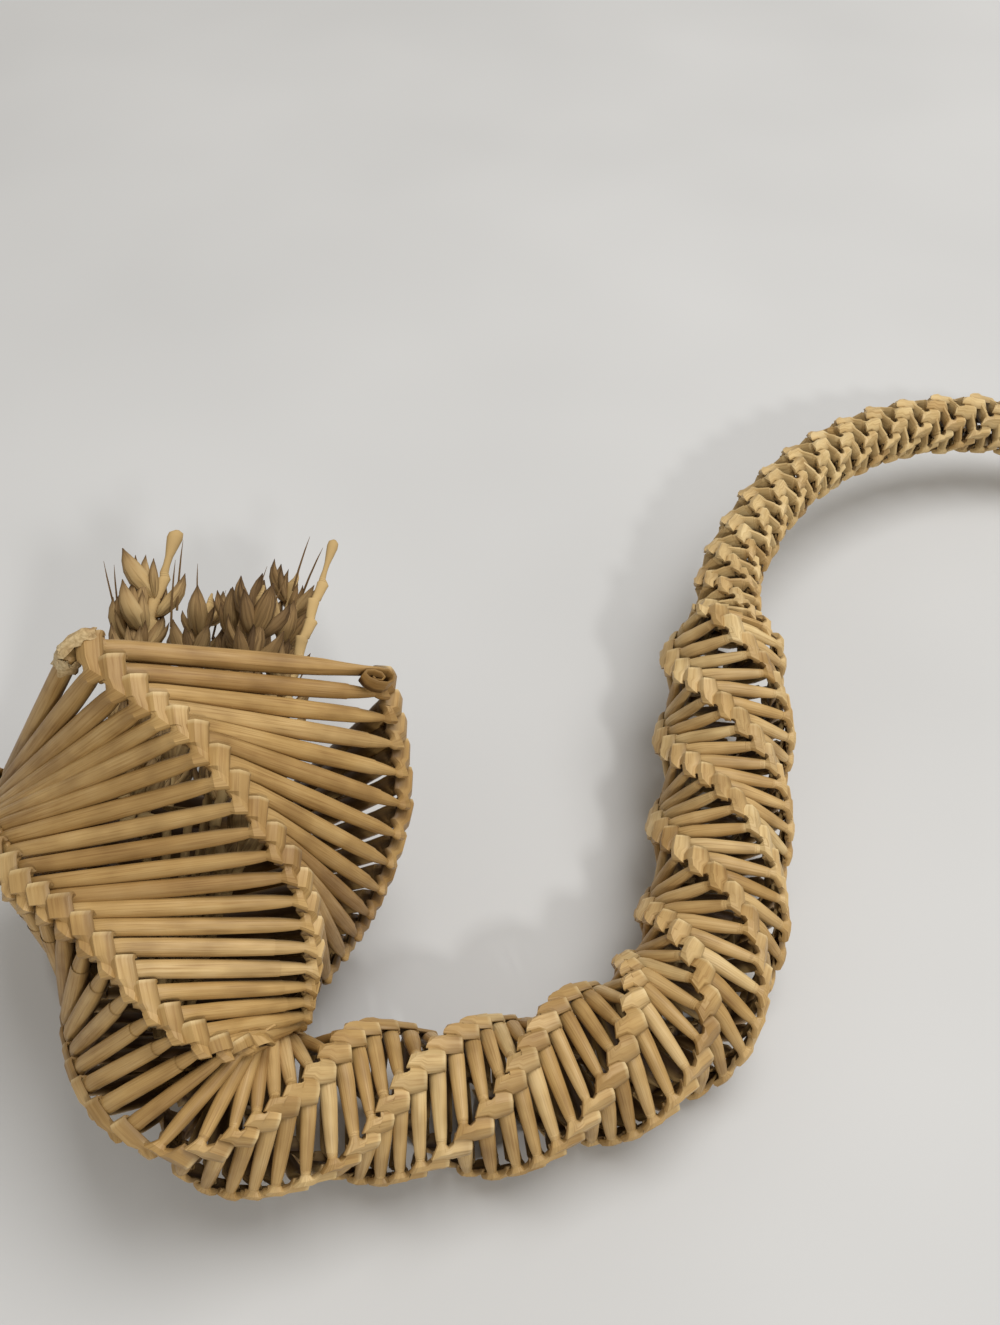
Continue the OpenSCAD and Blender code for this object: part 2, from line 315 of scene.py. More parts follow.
def corner_rings(e, come, k, go, around, s, d, n, pinch, band):
    """Rings of a straw from the end of one run, over a corner as a band, to the start of the next run.

    The run ends at e and turns in a mitre into the band, which stands proud of the straw that it crosses.
    The band thins to a sharp fold at k, and the next run comes out under it. Straw sizes are d, then n.
    The runs' directions are come and go, the corner's are around, and s is the side that looks outwards.
    """
    (d1, w1, v1), (d2, w2, v2), (g, out, tau) = come, go, around
    drop, rise, belly, lip = band[:4]
    out = unit(out + band.early * v1)
    tau = unit(across(tau, out))
    e = e - EARLY_SHIFT * band.early * d * d1
    sag = -band.arch * d * out
    brow = unit(out + 0.7 * g)
    ds, ns = s * d, s * n
    rings = [Ring(e - d * (back * d1 + band.sunk * v1), band.slim * (wide - less * pinch) * ds * w1,
                  band.deep * (high - low * pinch) * ds * v1) for back, wide, less, high, low in RUN_END]
    rings += [
        # the mitre
        Ring(e - d * (0.05 * d1 - 0.2 * out), ds * ((0.5 - 0.15 * pinch) * w1 - 0.1 * tau),
             0.22 * ds * unit(v1 + out), NONE, BAND_SQUARE),
        Ring(e + d * (0.25 * tau + 0.27 * out + (0.25 - drop / 2) * g),
             ds * ((0.25 + drop / 2) * g - 0.48 * tau),
             0.24 * ds * unit(out + 0.3 * v1), 0.3 * sag, BAND_SQUARE),
        Ring(e + d * (0.11 * tau + 0.32 * out + 0.42 * g), ds * (0.32 * g - 0.58 * tau),
             0.2 * ds * out, 0.7 * sag, BAND_SQUARE),
        # the band
        Ring(0.45 * e + 0.55 * k + d * (0.05 * tau + 0.34 * out), -ds * (belly * tau - 0.06 * g),
             0.17 * ds * out, sag, BAND_SQUARE),
        Ring(k + d * ((rise - 0.2) * g + 0.35 * out), -(belly + lip) / 2 * ds * tau,
             0.14 * ds * out, sag, BAND_SQUARE),
        # the fold: its brow is rubbed pale and carries a painted highlight
        Ring(k + d * (rise * g + 0.33 * out), -lip * ds * tau,
             0.12 * ds * unit(out + 0.5 * g), sag, FOLD_SQUARE, brow),
        Ring(k + d * ((rise + 0.04) * g + 0.23 * out), -lip * ds * tau, 0.09 * ds * g, sag, FOLD_SQUARE),
        Ring(k + d * ((rise - 0.05) * g + 0.07 * out), -0.96 * lip * ds * tau,
             0.09 * ds * unit(g - out), sag, BAND_SQUARE),
        # under the fold
        Ring(k + d * (0.45 * rise * g + 0.02 * out + 0.2 * d2), -ns * (0.46 * tau + 0.38 * g),
             -0.14 * ns * out, 0.6 * sag, 0.4),
    ]
    return rings + [Ring(k + n * (ahead * d2 - (low + band.sunk) * v2), -band.slim * wide * ns * w2,
                         -band.deep * high * ns * v2) for ahead, wide, high, low in RUN_START]


def pinched(plait, i):
    """How much run i narrows towards its mitre: most on the face of the head that looks up."""
    layer = plait.fold[i].layer
    if layer > HEAD_END:
        return 0.6 if layer < TAIL_START else 0
    return 1 if i % CORNERS == UPPER_FACE else np.interp(layer, (4, 10), (0.15, 0.65))


def corner(plait, i, s):
    """The rings over the corner between run i and the strand's next run.

    In the head the sharp fold is on the mouth's side of a band, along the tube and tail on the other side.
    """
    j = i + STRANDS
    layer, _, k, g, out, tau = plait.fold[j]
    (e, *come), (_, *go) = plait.runs[i], plait.runs[j]
    near, far = plait.thick[i], plait.thick[j]
    if layer < HEAD_END:
        band = EDGE_BAND if i % CORNERS == UPPER_FACE else NECK_BAND if layer > NECK_START else HEAD_BAND
        return corner_rings(e, come, k, go, (g, out, tau), s, near, far, pinched(plait, i), band)
    band = TUBE_BAND if layer < TAIL_START else TAIL_BAND
    come, go = ((-d, -w, v) for d, w, v in (go, come))
    rings = corner_rings(k, come, e, go, (-g, out, -tau), s, far, near, pinched(plait, j), band)
    return [ring._replace(high=-ring.high) for ring in reversed(rings)]


def cut_places():
    """Runs at which one length of straw gives way to the next, counted from the tail's tip."""
    marks = [CORNERS * (TIP_LAYER - layer) for layer in (TIP_LAYER, TAIL_START, HEAD_END, 0)]
    return [math.floor(a + (b - a) * k / n + 0.5)
            for a, b, n in zip(marks, marks[1:], LENGTHS.values()) for k in range(n)] + [CREASES]


def first_run(j, m, cuts):
    return cuts[m] + (j - cuts[m]) % STRANDS


def round_ring(plait, i, middle, s, radius):
    return Ring(middle, s * radius * plait.runs[i].w, s * radius * plait.runs[i].v)


def run_body(plait, i, s):
    """The middle of a long run: fullest halfway, and thinner from there to its mitre."""
    d = plait.thick[i]
    start, end = plait.fold[i].place, plait.runs[i].end
    if np.linalg.norm(end - start) < LONG_RUN * d:
        return []
    pinch = pinched(plait, i)
    stops = [(x, r - less * pinch) for x, r, less in RUN_BODY]
    if plait.fold[i].layer > HEAD_END:
        stops = [(1 - x, r) for x, r in reversed(stops)]
    return [round_ring(plait, i, (1 - x) * start + x * end, s, r * d) for x, r in stops]


def straw_rings(plait, j, m):
    """All rings of length m of strand j, and for each ring the run whose tone it has."""
    cuts = cut_places()
    last = m == len(cuts) - 2
    a = first_run(j, m, cuts)
    b = first_run(j, m + 1, cuts) - (STRANDS if last else 0)
    s = 1 if (a - j) // STRANDS % 2 == 0 else -1
    if m == 0:
        rings = bundle_rings(plait, j)
    else:
        rings = [round_ring(plait, a, plait.halfway(a), s, plait.thick[a] / 2)]
    runs = [a] * len(rings)
    for i in range(a, b, STRANDS):
        here = (run_body(plait, i, s) if i > a else []) + corner(plait, i, s)
        rings += here
        runs += [i] * (len(here) - len(RUN_START)) + [i + STRANDS] * len(RUN_START)
        s = -s
    radius = plait.thick[b] / 2
    if not last:
        ends = [round_ring(plait, b, plait.halfway(b), s, radius)]
    elif b == CREASES - 1:
        ends = cut_end(plait, b, s, radius)
    elif b == CREASES - STRANDS:
        ends = run_body(plait, b, s) + corner(plait, b, s)[:-len(RUN_START)]
    else:
        end, d = plait.runs[b].end, plait.fold[b].size * plait.runs[b].d
        ends = [round_ring(plait, b, end - back * d, s, share * radius) for back, share in ROUND_END]
    return rings + ends, runs + [b] * len(ends)


def cut_end(plait, b, s, radius):
    """The very last run: it is pinched to a strip that curls down over the mouth's corner and back."""
    end, d, w, v = plait.runs[b]
    down = -math.copysign(1, w @ plait.fold[b].g)
    # place along the run, down the corner and outwards, half thickness and half width, all in straw radii
    stops = np.array([
        (-16, 0, 0, 0.96, 0.96), (-11, 0, 0, 0.92, 0.94), (-7, 0, 0, 0.78, 0.85), (-4.2, 0.05, 0, 0.56, 0.75),
        (-2, 0.1, 0.05, 0.36, 0.8), (-0.4, 0.15, 0.1, 0.22, 0.95), (0.7, 0.5, 0.2, 0.18, 1.1),
        (1.15, 1.2, 0.35, 0.17, 1.2), (0.9, 2.0, 0.5, 0.17, 1.2), (0.1, 2.45, 0.6, 0.17, 1.15),
        (-1.0, 2.4, 0.65, 0.18, 1.05), (-2.0, 1.9, 0.65, 0.2, 0.95), (-2.4, 1.3, 0.6, 0.2, 0.9),
        (-2.0, 0.8, 0.55, 0.18, 0.85), (-1.1, 0.65, 0.5, 0.17, 0.8), (-0.2, 0.85, 0.45, 0.17, 0.75),
        (0.2, 1.3, 0.4, 0.17, 0.7), (-0.2, 1.75, 0.4, 0.16, 0.7), (-0.9, 1.7, 0.4, 0.14, 0.65),
        (-1.2, 1.3, 0.4, 0.1, 0.6)])
    # The curl is wound a little tighter than that.
    stops[:, :2] *= 0.85
    rings = []
    for (along, low, proud, thin, wide), step in zip(stops, np.gradient(stops[:, :2], axis=0)):
        way = unit(step)
        edge = -way[1] * down * d + way[0] * w
        place = end + radius * (along * d + low * down * w + proud * v)
        rings.append(Ring(place, s * thin * radius * edge, s * wide * radius * v, square=0.2))
    return rings


def bundle_rings(plait, j):
    """The hollow cut end of a tail straw, and its way under the binding."""
    v = unit(across(plait.runs[j].v, plait.tip_out))
    side = np.cross(plait.tip_out, v)
    around = 0.9 * plait.tail * swing(2 * math.pi * j / STRANDS, plait.fold[0].out, plait.fold[0].tau)
    bound = BINDING_GAP + plait.binding_len
    cut_len = 4
    reach = bound + cut_len
    r = plait.tail / 2
    stops = ((reach - 3, 0.7), (reach - 0.1, 0.74), (reach, 0.8), (reach + 0.05, 0.94), (reach - 0.1, 1),
             (reach - 3, 1), (bound, 0.96), (BINDING_GAP, 0.96))
    return [Ring(plait.tip + a * plait.tip_out + around, share * r * side, share * r * v)
            for a, share in stops]


def sweep(rings, sides):
    """Points in metres, faces, UV in shares of UV_LENGTH along, and the rubbed pale edge with its painted
    highlight, of a tube through rings.
    """
    t = 2 * np.pi * np.arange(sides) / sides
    c, w, v, b, square, lit = (np.array(part, float) for part in zip(*rings))
    stretch = np.maximum(np.abs(np.cos(t)), np.abs(np.sin(t)))[None] ** -square[:, None]
    ca, sa = (stretch * np.cos(t))[..., None], (stretch * np.sin(t))[..., None]
    offset = ca * w[:, None] + sa * v[:, None]
    points = c[:, None] + offset + np.abs(ca) ** 1.25 * b[:, None]
    points[..., 2] = np.maximum(points[..., 2], 0)
    # The points that face a ring's edge direction most are rubbed pale and painted with a highlight.
    facing = np.einsum("rsx,rx->rs", offset, lit)
    wear = np.clip((facing / np.maximum(facing.max(1, keepdims=True), 1e-9) - 0.8) / 0.2, 0, 1)
    rows = len(rings)
    r, k = np.meshgrid(np.arange(rows - 1), np.arange(sides), indexing="ij")
    rs, ks = np.stack([r, r, r + 1, r + 1], -1), np.stack([k, k + 1, k + 1, k], -1)
    quads = (rs * sides + ks % sides).reshape(-1, 4)
    along = np.concatenate([[0], np.cumsum(np.linalg.norm(np.diff(c, axis=0), axis=1))])
    uv = np.stack([ks / sides, along[rs] / UV_LENGTH], -1).reshape(-1, 2)
    caps = [list(range(sides - 1, -1, -1)), [(rows - 1) * sides + x for x in range(sides)]]
    cap_uv = [(x % sides / sides, end / UV_LENGTH) for cap, end in zip(caps, along[[0, -1]]) for x in cap]
    uv = np.concatenate([uv, np.array(cap_uv)])
    return points.reshape(-1, 3) * MM, quads.tolist() + caps, uv, wear.ravel()


def length_of(rings):
    """The way along the middles of rings, in millimetres."""
    return np.linalg.norm(np.diff([ring.middle for ring in rings], axis=0), axis=1).sum()


def merge(meshes):
    """Several points-and-faces pairs as one."""
    starts = np.cumsum([0] + [len(points) for points, _ in meshes])
    faces = [[v + start for v in face] for (_, part), start in zip(meshes, starts) for face in part]
    return np.concatenate([points for points, _ in meshes]), faces


def add_values(mesh, **values):
    """Gives a mesh's points their own named numbers or vectors."""
    for key, numbers in values.items():
        numbers = np.asarray(numbers, np.float32)
        kind, field = ("FLOAT", "value") if numbers.ndim == 1 else ("FLOAT_VECTOR", "vector")
        mesh.attributes.new(key, kind, "POINT").data.foreach_set(field, numbers.ravel())


def add_object(name, mesh):
    """An object at the origin."""
    made = bpy.data.objects.new(name, mesh)
    bpy.context.scene.collection.objects.link(made)
    return made


def make_piece(name, points, faces, material, uv=None, sharp=None, **values):
    """A mesh object at the origin, with its own UV map and per-point values."""
    mesh = bpy.data.meshes.new(name)
    mesh.from_pydata(points.tolist(), [], faces)
    if uv is not None:
        layer = mesh.uv_layers.new(name="Straw")
        layer.data.foreach_set("uv", np.asarray(uv, np.float32).ravel())
    add_values(mesh, **values)
    mesh.shade_smooth()
    if sharp:
        mesh.set_sharp_from_angle(angle=math.radians(sharp))
    mesh.materials.append(material)
    mesh.validate()
    return add_object(name, mesh)


def settle_piece(piece, node):
    """Puts a finished piece in its CAD node's place."""
    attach(piece, BODY)
    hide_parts(node)


def add_node(tree, kind, inputs=None, **settings):
    """Adds one node with its settings. Its inputs are values, or sockets or nodes to link to."""
    made = tree.nodes.new(kind)
    for key, value in settings.items():
        setattr(made, key, value)
    for key, value in (inputs or {}).items():
        if isinstance(value, bpy.types.Node):
            value = next(socket for socket in value.outputs if socket.enabled)
        if isinstance(value, bpy.types.NodeSocket):
            tree.links.new(value, made.inputs[key])
        else:
            made.inputs[key].default_value = value
    return made


def new_material(name):
    material = bpy.data.materials.new(name)
    material.use_nodes = True
    material.node_tree.nodes.clear()
    return material, material.node_tree


def set_ramp(made, *stops):
    """Sets a colour ramp's stops: each is a place, and an sRGB hex code or a linear colour."""
    elements = made.color_ramp.elements
    while len(elements) < len(stops):
        elements.new(1)
    for element, (place, tint) in zip(elements, stops):
        element.position = place
        element.color = (*(linear(tint) if isinstance(tint, str) else tint), 1)


# Settings of a mix of colours, which tints or covers the colour under it.
TINTING = {"data_type": "RGBA", "blend_type": "MULTIPLY"}
COVERING = {"data_type": "RGBA", "blend_type": "MIX"}


def straw_material(sizes):
    """Sun-dried wheat straw: a waxy, satin stem with fine fibres along it, from pale gold to tan."""
    material, tree = new_material("sun-dried wheat straw")
    uv = add_node(tree, "ShaderNodeUVMap", uv_map="Straw")
    split = add_node(tree, "ShaderNodeSeparateXYZ", {0: uv})
    tone, wear, inner = (add_node(tree, "ShaderNodeAttribute", attribute_name=name).outputs["Fac"]
                         for name in ("tone", "wear", "inner"))
    # Each run has its own part of the noise.
    spot = add_node(tree, "ShaderNodeCombineXYZ", {0: split.outputs["X"], 1: split.outputs["Y"], 2: tone})
    # Fibres are about 0.25 mm wide and 15 mm long: the UV runs once around and 100 mm to one along.
    place = add_node(tree, "ShaderNodeVectorMath", {0: spot, 1: (36, 7, 37)}, operation="MULTIPLY")
    fibre = add_node(tree, "ShaderNodeTexNoise", {"Vector": place, "Scale": 1, "Detail": 3, "Roughness": 0.6})
    # Weathered patches are about 11 mm long.
    place = add_node(tree, "ShaderNodeVectorMath", {0: spot, 1: (1.6, 9, 37)}, operation="MULTIPLY")
    patch = add_node(tree, "ShaderNodeTexNoise", {"Vector": place, "Scale": 1, "Detail": 2})
    tones = add_node(tree, "ShaderNodeValToRGB", {0: tone})
    set_ramp(tones, (0, sizes.dark_straw), (0.35, "#C0A26E"), (0.7, "#CEB383"), (1, sizes.pale_straw))
    patches = add_node(tree, "ShaderNodeValToRGB", {0: patch})
    set_ramp(patches, (0.3, "#C6B8A0"), (0.55, "#F2EBDC"), (0.75, "#FFFFFF"))
    fibres = add_node(tree, "ShaderNodeValToRGB", {0: fibre})
    set_ramp(fibres, (0.28, "#BFA988"), (0.46, "#EAE2D2"), (0.7, "#FFFDF6"))
    mottled = add_node(tree, "ShaderNodeMix", {0: 0.8, 6: tones, 7: patches}, **TINTING)
    coloured = add_node(tree, "ShaderNodeMix", {0: 0.75, 6: mottled, 7: fibres}, **TINTING)
    # The sharp folds are rubbed pale, and their brow also carries a painted highlight.
    rubbed_and_highlit = add_node(tree, "ShaderNodeMath", {0: wear, 1: patch}, operation="MULTIPLY")
    edged = add_node(tree, "ShaderNodeMix", {0: rubbed_and_highlit, 6: coloured, 7: (*linear("#DCC796"), 1)}, **COVERING)
    # The side that faces the inside of the plait is painted dark brown: mostly painted shade, which darkens
    # the gaps between the runs, with a little dust.
    inside = add_node(tree, "ShaderNodeMapRange", {0: inner, 1: 0.1, 2: 0.9, 3: 0, 4: 0.95})
    shaded_and_dusty = add_node(tree, "ShaderNodeMix", {0: inside, 6: edged, 7: (*sizes.inner_shade_and_dust, 1)}, **COVERING)
    rough = add_node(tree, "ShaderNodeMapRange", {0: fibre, 1: 0.3, 2: 0.7, 3: 0.58, 4: 0.4})
    bump = add_node(tree, "ShaderNodeBump", {"Height": fibre, "Strength": 0.25, "Distance": 0.15 * MM})
    shader = add_node(tree, "ShaderNodeBsdfPrincipled", {
        "Base Color": shaded_and_dusty, "Roughness": rough, "Normal": bump, "IOR": 1.45, "Specular IOR Level": 0.4})
    add_node(tree, "ShaderNodeOutputMaterial", {0: shader})
    return material


def chaff_material(sizes):
    """Dry wheat chaff: papery grey-brown scales, paler at the foot, darker and veined towards the tip."""
    material, tree = new_material("dry wheat chaff")
    along, shade, vein = (add_node(tree, "ShaderNodeAttribute", attribute_name=name).outputs["Fac"]
                          for name in ("along", "shade", "vein"))
    # Veins run along a glume, about ten across its 3 mm. Each glume has its own part of the noise.
    spot = add_node(tree, "ShaderNodeCombineXYZ", {0: vein, 1: along, 2: shade})
    place = add_node(tree, "ShaderNodeVectorMath", {0: spot, 1: (5, 1, 40)}, operation="MULTIPLY")
    veins = add_node(tree, "ShaderNodeTexNoise", {
        "Vector": place, "Scale": 1, "Detail": 3, "Distortion": 0.3})
    tip = add_node(tree, "ShaderNodeValToRGB", {0: along})
    set_ramp(tip, (0, sizes.chaff), (0.35, "#C2AC84"), (0.75, "#A89270"), (1, "#5E4A34"))
    tint = add_node(tree, "ShaderNodeValToRGB", {0: shade})
    set_ramp(tint, (0, "#9C8F82"), (0.5, "#D8CBB6"), (1, "#FFF8E6"))
    stripes = add_node(tree, "ShaderNodeValToRGB", {0: veins})
    set_ramp(stripes, (0.3, "#8A7A68"), (0.55, "#F0E8DA"), (0.75, "#FFFFFF"))
    tinted = add_node(tree, "ShaderNodeMix", {0: 1, 6: tip, 7: tint}, **TINTING)
    coloured = add_node(tree, "ShaderNodeMix", {0: 0.8, 6: tinted, 7: stripes}, **TINTING)
    bump = add_node(tree, "ShaderNodeBump", {"Height": veins, "Strength": 0.35, "Distance": 0.2 * MM})
    shader = add_node(tree, "ShaderNodeBsdfPrincipled", {
        "Base Color": coloured, "Roughness": 0.75, "Normal": bump, "IOR": 1.4, "Specular IOR Level": 0.25})
    add_node(tree, "ShaderNodeOutputMaterial", {0: shader})
    return material


def split_straw_material():
    """Split straw and leaf sheath: the pale, matt inner side of a stem, with brown stains."""
    material, tree = new_material("split straw sheath")
    place = add_node(tree, "ShaderNodeTexCoord").outputs["Object"]
    # Stains are about 4 mm across and fibres 0.6 mm.
    stain = add_node(tree, "ShaderNodeTexNoise", {"Vector": place, "Scale": 1 / (4 * MM), "Detail": 2})
    fibre = add_node(tree, "ShaderNodeTexNoise", {"Vector": place, "Scale": 1 / (0.6 * MM), "Detail": 3})
    stains = add_node(tree, "ShaderNodeValToRGB", {0: stain})
    set_ramp(stains, (0.3, "#A2845A"), (0.5, "#C2A97C"), (0.75, "#D2BF98"))
    fibres = add_node(tree, "ShaderNodeValToRGB", {0: fibre})
    set_ramp(fibres, (0.3, "#A89878"), (0.6, "#FFFFFF"))
    coloured = add_node(tree, "ShaderNodeMix", {0: 0.6, 6: stains, 7: fibres}, **TINTING)
    bump = add_node(tree, "ShaderNodeBump", {"Height": fibre, "Strength": 0.4, "Distance": 0.2 * MM})
    shader = add_node(tree, "ShaderNodeBsdfPrincipled", {
        "Base Color": coloured, "Roughness": 0.7, "Normal": bump, "Specular IOR Level": 0.3})
    add_node(tree, "ShaderNodeOutputMaterial", {0: shader})
    return material


def floor_material(sizes):
    """Pale matt card with faint uneven whiteness."""
    material, tree = new_material("pale matt card")
    place = add_node(tree, "ShaderNodeTexCoord").outputs["Object"]
    # Uneven patches are about 150 mm across.
    patch = add_node(tree, "ShaderNodeTexNoise", {"Vector": place, "Scale": 1 / 0.15, "Detail": 2})
    tones = add_node(tree, "ShaderNodeValToRGB", {0: patch})
    set_ramp(tones, (0.3, "#C0C0BE"), (0.7, sizes.floor))
    shader = add_node(tree, "ShaderNodeBsdfPrincipled", {
        "Base Color": tones, "Roughness": 0.8, "Specular IOR Level": 0.2})
    add_node(tree, "ShaderNodeOutputMaterial", {0: shader})
    return material


class Straws(bpy.types.Operator):
    """Makes the plaited straws of the head, the tube and the tail"""

    bl_idname = "corn_dolly.straws"
    bl_label = "Straws"

    def execute(self, context):
        sizes = context.scene.corn_dolly
        plait = Plait(sizes)
        material = straw_material(sizes)
        first = sum(LENGTHS.values())
        strands = [[straw_rings(plait, j, m) for m in range(first)] for j in range(STRANDS)]
        for zone, count in reversed(LENGTHS.items()):
            first -= count
            for m in range(count):
                for j, strand in enumerate(strands):
                    # The fibres run on from one length of a strand to the next.
                    begun = sum(length_of(rings) for rings, _ in strand[:first + m])
                    name = f"{zone}_straw_{LETTERS[j]}{m + 1}"
                    self.straw(plait, name, *strand[first + m], begun, material)
        return {"FINISHED"}

    def straw(self, plait, name, rings, runs, begun, material):
        """One length of straw, with the tone of its runs, and its inner side marked for the painted shade."""
        points, faces, uv, wear = sweep(rings, STRAW_SIDES)
        uv[:, 1] += begun / UV_LENGTH
        middles = np.array([ring.middle for ring in rings])
        # How much each point faces the plait's middle: the mask of the painted shade inside.
        inward = np.array([unit(plait.middle(plait.fold[i].layer) - c) for i, c in zip(runs, middles)])
        offsets = points.reshape(-1, STRAW_SIDES, 3) / MM - middles[:, None]
        inner = np.einsum("rsx,rx->rs", offsets, inward) / np.linalg.norm(offsets, axis=2)
        piece = make_piece(
            f"plaited_{name}", points, faces, material, uv, 30, wear=wear,
            inner=np.clip(inner, 0, 1).ravel(), tone=np.repeat(plait.tone[runs], STRAW_SIDES))
        settle_piece(piece, name)


class Bunch:
    """Where the ears' stems are tied and where their tips stand, in millimetres."""

    def __init__(self, plait, sizes):
        self.stem = sizes.stem_d / MM
        between, slack = 0.2, 1.1
        pitch = self.stem + between
        self.tie_r = pitch + self.stem / 2 + slack
        # The tie lies under a run of the head, clear of it by its thread and a gap.
        thread, gap = 0.8, 0.3
        run = CORNERS * (TIP_LAYER - BUNCH_LAYER)
        away = plait.fold[run].size / 2 + self.tie_r + thread + gap
        self.middle = plait.halfway(run) - away * plait.runs[run].v
        g = plait.mouthward(0)
        side, up = level(g)
        self.tips = [plait.middle(0) + a * side + b * up + c * g for a, b, c, *_ in EARS]
        self.out = unit(self.tips[MIDDLE_EAR] - self.middle)
        self.feet = []
        for k, (*_, turn) in enumerate(EARS):
            spot = 0 if k == MIDDLE_EAR else pitch * swing(math.radians(turn), *level(self.out))
            self.feet.append(self.middle + spot - self.out)


class Ear:
    """The axis of one ear, from its foot in the tie to its tip, in millimetres."""

    def __init__(self, bunch, k):
        self.number = k
        self.foot = bunch.feet[k]
        self.axis = unit(bunch.tips[k] - self.foot)
        self.reach = np.linalg.norm(bunch.tips[k] - self.foot)
        first = unit(np.cross(self.axis, UP))
        self.out = swing(math.radians(35 * k), first, np.cross(self.axis, first))
        self.flat = np.cross(self.axis, self.out)
        *_, self.bare, bow, _ = EARS[k]
        self.bend = np.array((bow, 0.0, 0.0))
        # An ear that has lost its top spikelets ends in a bare club.
        self.clubbed = self.bare > 10

    def at(self, place):
        """A place along the axis, which may be bowed."""
        return self.foot + self.axis * place + self.bend * math.sin(math.pi * place / self.reach)


def glume_mesh(material):
    """One boat-shaped glume, a unit long, that stands on the origin along Z with its back towards X."""
    # height, width and bow
    stops = ((0, 0.1, 0), (0.06, 0.4, 0.02), (0.2, 0.8, 0.06), (0.42, 1.0, 0.1), (0.64, 0.84, 0.1),
             (0.82, 0.5, 0.06), (0.93, 0.2, 0.01), (1.0, 0.04, -0.02))
    sides = 8
    half_wide, half_deep = 0.165, 0.09
    rings = []
    for z, wide, bow in stops:
        deep = np.array([-half_deep * wide, 0, 0])
        rings.append(Ring(np.array([bow, 0, z]), np.array([0, half_wide * wide, 0]), deep, deep))
    points, faces, _, _ = sweep(rings, sides)
    points = points / MM
    points[:, 2] = np.repeat([stop[0] for stop in stops], sides)
    vein = np.tile(np.cos(2 * np.pi * np.arange(sides) / sides), len(stops))
    return make_piece("glume", points, faces, material, along=points[:, 2], vein=vein)


def new_tree(name, **sockets):
    """A node group with these inputs, the identifiers of its inputs, and what they give."""
    tree = bpy.data.node_groups.new(name, "GeometryNodeTree")
    tree.interface.new_socket("Geometry", in_out="INPUT", socket_type="NodeSocketGeometry")
    names = {key: tree.interface.new_socket(key, in_out="INPUT", socket_type=f"NodeSocket{kind}").identifier
             for key, kind in sockets.items()}
    tree.interface.new_socket("Geometry", in_out="OUTPUT", socket_type="NodeSocketGeometry")
    return tree, names, add_node(tree, "NodeGroupInput").outputs


def close_tree(tree, shape, finish):
    """Ends a node group in a real mesh with its material."""
    real = add_node(tree, "GeometryNodeRealizeInstances", {0: shape})
    painted = add_node(tree, "GeometryNodeSetMaterial", {"Geometry": real, "Material": finish})
    add_node(tree, "NodeGroupOutput", {0: painted})


def grow(context, mesh, tree, names, **values):
    """The mesh that a node group makes of another one."""
    holder = add_object(mesh.name, mesh)
    grown = holder.modifiers.new(tree.name, "NODES")
    grown.node_group = tree
    for key, value in values.items():
        grown[names[key]] = value
    context.view_layer.update()
    made = bpy.data.meshes.new_from_object(holder.evaluated_get(context.evaluated_depsgraph_get()))
    if not made.polygons:
        raise RuntimeError(f"{tree.name} came out empty")
    bpy.data.objects.remove(holder)
    return made


def spikelet_tree(glume):
    """Stands a glume on every point of an ear, turned and sized by the point's own values."""
    tree, names, given = new_tree("Glumes on an ear", Length="Float", Seed="Int", Finish="Material")
    points = add_node(tree, "GeometryNodeMeshToPoints", {"Mesh": given["Geometry"]})
    turn, size = (add_node(tree, "GeometryNodeInputNamedAttribute", {"Name": name}, data_type=kind)
                  for name, kind in (("turn", "FLOAT_VECTOR"), ("size", "FLOAT")))
    longer, wider = (add_node(tree, "FunctionNodeRandomValue", {2: least, 3: most, "Seed": given["Seed"]})
                     for least, most in ((0.8, 1.2), (0.75, 1.3)))
    usual = add_node(tree, "ShaderNodeMath", {0: size, 1: given["Length"]}, operation="MULTIPLY")
    long = add_node(tree, "ShaderNodeMath", {0: usual, 1: longer}, operation="MULTIPLY")
    wide = add_node(tree, "ShaderNodeMath", {0: long, 1: wider}, operation="MULTIPLY")
    scale = add_node(tree, "ShaderNodeCombineXYZ", {0: wide, 1: wide, 2: long})
    shape = add_node(tree, "GeometryNodeObjectInfo", {"Object": glume})
    stood = add_node(tree, "GeometryNodeInstanceOnPoints", {
        "Points": points, "Instance": shape.outputs["Geometry"], "Rotation": turn, "Scale": scale})
    close_tree(tree, stood, given["Finish"])
    return tree, names


def turned_to(along, back):
    """The matrix that takes Z to along and X towards back."""
    z = unit(along)
    x = unit(across(back, z))
    return Matrix(np.column_stack([x, np.cross(z, x), z]).tolist())


